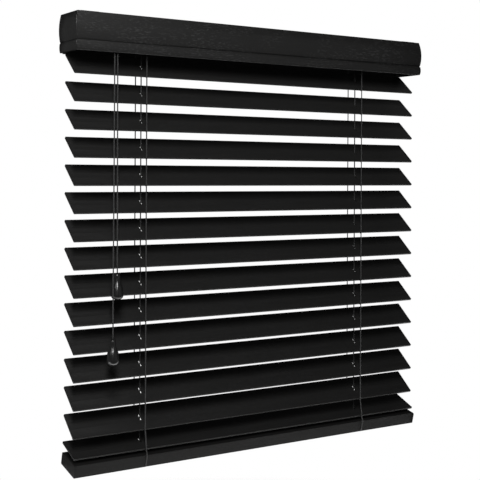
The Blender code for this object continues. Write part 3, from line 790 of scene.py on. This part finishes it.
nylon = Finish("milky_nylon", Subsurface_Weight=0.15, Subsurface_Scale=0.004)
flow = nylon.noise(nylon.place((120, 60, 120)), 3.0, 0.5, 0.8)
spark = nylon.noise(nylon.place(same(1600)), 2.0, 0.5)
nylon.feed("Base Color", nylon.tint(flow * 0.8 + spark * 0.2, (0.62, 0.61, 0.57), (0.76, 0.75, 0.72)))
nylon.feed("Roughness", 0.42 + flow * 0.14)
nylon.relief(spark * 0.5 + flow * 0.5, 0.00006, 0.6)

plastic_black = Finish("moulded_black_plastic")
texture = plastic_black.noise(plastic_black.place(same(1300)), 2.0, 0.55)
sink = plastic_black.noise(plastic_black.place(same(45)), 2.0, 0.5)
plastic_black.feed("Base Color", plastic_black.tint(sink * 0.5 + texture * 0.5, same(0.010), same(0.022)))
plastic_black.feed("Roughness", 0.38 + texture * 0.18)
plastic_black.relief(texture * 0.7 + sink * 0.3, 0.00010, 0.8)
print("finishes made:", [finish.material.name for finish in (powder_coat, zinc, nylon, plastic_black)])

# %% Finishes for the CAD nodes
KEPT = {
    "headrail": powder_coat, "mounting_bracket": powder_coat, "tilt_rod": zinc,
    "headrail_end_cap": plastic_black, "valance_clip": plastic_black, "rail_plug": plastic_black,
    "tilter_housing": nylon, "tilt_gear": nylon, "tilt_worm": nylon, "ladder_drum": nylon,
    "drum_cradle": nylon, "spring_motor_case": plastic_black, "lift_cord_spool": plastic_black,
}
for name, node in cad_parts.items():
    kinds = [kind for kind in KEPT if name.startswith(kind)]
    if kinds:
        finish = KEPT[max(kinds, key=len)]
        if not node.material_slots:
            node.data.materials.append(finish.material)
        for holder in node.material_slots:
            holder.material = finish.material
print("CAD nodes with a finish of their own:", sum(not n.hide_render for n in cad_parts.values()))

# %% [markdown]
# ## Studio
# A tall, narrow softbox hangs above the camera. Its light reaches the room half of each slat, and the slat
# above shades the rest. A strip at the left grazes the moulding, a low strip puts the streak on the
# tassels, and weak fills stand all round. A pale floor sends light back up under the slats and fades into
# the white backdrop, which lights nothing.

# %% Lights
TARGET = Vector((0, 0, -0.36))


def softbox(name, place, size, radiance):
    """A rectangular light that faces the blind, as bright as its radiance says."""
    lamp = bpy.data.lights.new(name, "AREA")
    lamp.shape = "RECTANGLE"
    lamp.size, lamp.size_y = size
    lamp.energy = radiance * size[0] * size[1] * math.pi
    made = bpy.data.objects.new(name, lamp)
    bpy.context.scene.collection.objects.link(made)
    made.location = place
    made.rotation_euler = (TARGET - Vector(place)).to_track_quat("-Z", "Y").to_euler()
    return made


SOFTBOXES = {
    "key_softbox": ((-1.01, -1.56, 1.00), (0.45, 1.2), 18.0),
    "left_strip": ((-2.05, -0.80, 0.65), (0.35, 1.2), 4.0),
    "low_strip": ((-1.215, -1.871, 0.20), (0.16, 0.6), 12.0),
    "front_fill": ((1.3, -2.3, -0.1), (2.6, 2.2), 0.13),
    "right_fill": ((2.2, 0.5, 2.4), (2.4, 2.4), 0.10),
    "back_left_fill": ((-1.9, 1.9, -0.2), (2.4, 2.0), 0.10),
}
for name, (stand, size, radiance) in SOFTBOXES.items():
    softbox(name, stand, size, radiance)
bounce = softbox("floor_bounce", (0, 0.08, -0.98), (3.2, 0.6), 1.8)
bounce.rotation_euler = (math.pi, 0, 0)
bounce.visible_camera = False

# %% [markdown]
# ## Backdrop and floor
# The world is white to the camera and dark to everything else, so that it frames the blind without washing
# it out. The floor is a disc whose edge fades away. It glows a little, as paper does under studio light,
# which keeps the shadow soft.

# %% Backdrop and floor
world = bpy.data.worlds.new("white_backdrop")
world.use_nodes = True
world.node_tree.nodes["Background"].inputs["Color"].default_value = (1, 1, 1, 1)
world.node_tree.nodes["Background"].inputs["Strength"].default_value = 1.0
world.cycles_visibility.diffuse = False
world.cycles_visibility.glossy = False
world.cycles_visibility.transmission = False
bpy.context.scene.world = world
bpy.context.scene.view_settings.view_transform = "Standard"

FLOOR_Z = -1.0
FLOOR_RADIUS = 1.2
FADE_START, FADE_END = 0.30, 0.72
disc = bmesh.new()
bmesh.ops.create_circle(disc, cap_ends=True, segments=96, radius=FLOOR_RADIUS)
bmesh.ops.translate(disc, vec=(0, 0, FLOOR_Z), verts=disc.verts)
floor = show("floor", finished("floor", disc))
pale = Finish("pale_floor", Roughness=0.8, Specular_IOR_Level=0.1)
place = pale.node("ShaderNodeTexCoord", output="Object")
flat = pale.node("ShaderNodeVectorMath", {"operation": "MULTIPLY"}, {0: place, 1: (1, 1, 0)})
reach = pale.node("ShaderNodeVectorMath", {"operation": "LENGTH"}, {0: flat}, output="Value")
pale.feed("Base Color", (0.86, 0.86, 0.85, 1))
pale.feed("Emission Color", (1, 1, 1, 1))
pale.feed("Emission Strength", 0.35)
pale.feed("Alpha", 1 - reach.between(FADE_START, FADE_END))
floor.data.materials.append(pale.material)
floor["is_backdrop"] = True
print("floor at", FLOOR_Z, "m")

# %% [markdown]
# ## Sizes
# The fine pieces must not make the blind bigger or smaller than the CAD model, so both boxes are written
# side by side.

# %% Sizes, and the end
boxes = {"cad": cad_box, "visual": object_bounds()}
for name, (low, high) in boxes.items():
    print(name, "box:", [round(b - a, 4) for a, b in zip(low, high)], "m")
